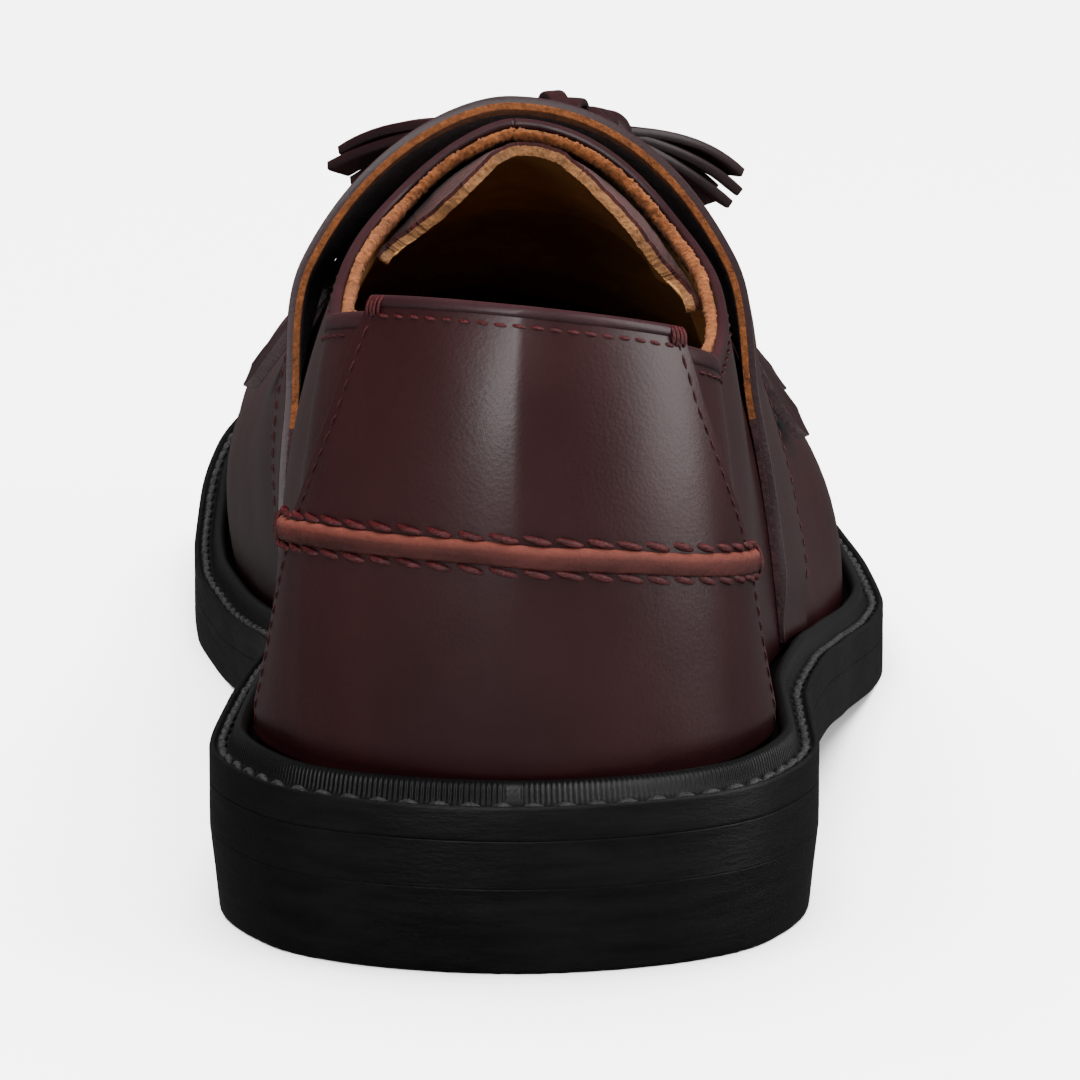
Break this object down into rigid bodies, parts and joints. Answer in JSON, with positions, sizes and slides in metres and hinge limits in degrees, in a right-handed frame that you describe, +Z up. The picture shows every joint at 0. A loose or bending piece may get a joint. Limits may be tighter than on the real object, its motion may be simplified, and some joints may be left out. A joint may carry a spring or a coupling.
{
  "type": "tassel loafer",
  "caption": "Right-foot leather slip-on shoe with a fringed instep flap, a saddle strap with tassels, a rolled heel seam and a storm-welted sole.",
  "frame": {"origin": "middle of the heel block's flat underside, under the centre of the heel seat, on the floor", "axes": "+Y forward to the toe, +Z up, +X to the outer side of the right foot"},
  "size_m": [0.1018, 0.296, 0.0928],
  "materials": {
    "burgundy_leather": "polished",
    "seam_leather": "matt",
    "lining_tan": "matt",
    "welt_black": "satin",
    "sole_rubber": "satin"
  },
  "bodies": {
    "root": {"heel": "sole_rubber", "outsole": "sole_rubber", "welt": "welt_black", "insole": "lining_tan", "upper": "burgundy_leather", "tongue": "lining_tan", "counter_top": "burgundy_leather", "counter_base": "burgundy_leather", "heel_seam": "seam_leather", "kiltie": "burgundy_leather", "saddle": "burgundy_leather", "tassel_tie": "burgundy_leather", "tassel_outer": "burgundy_leather", "tassel_inner": "burgundy_leather"}
  },
  "joints": []
}
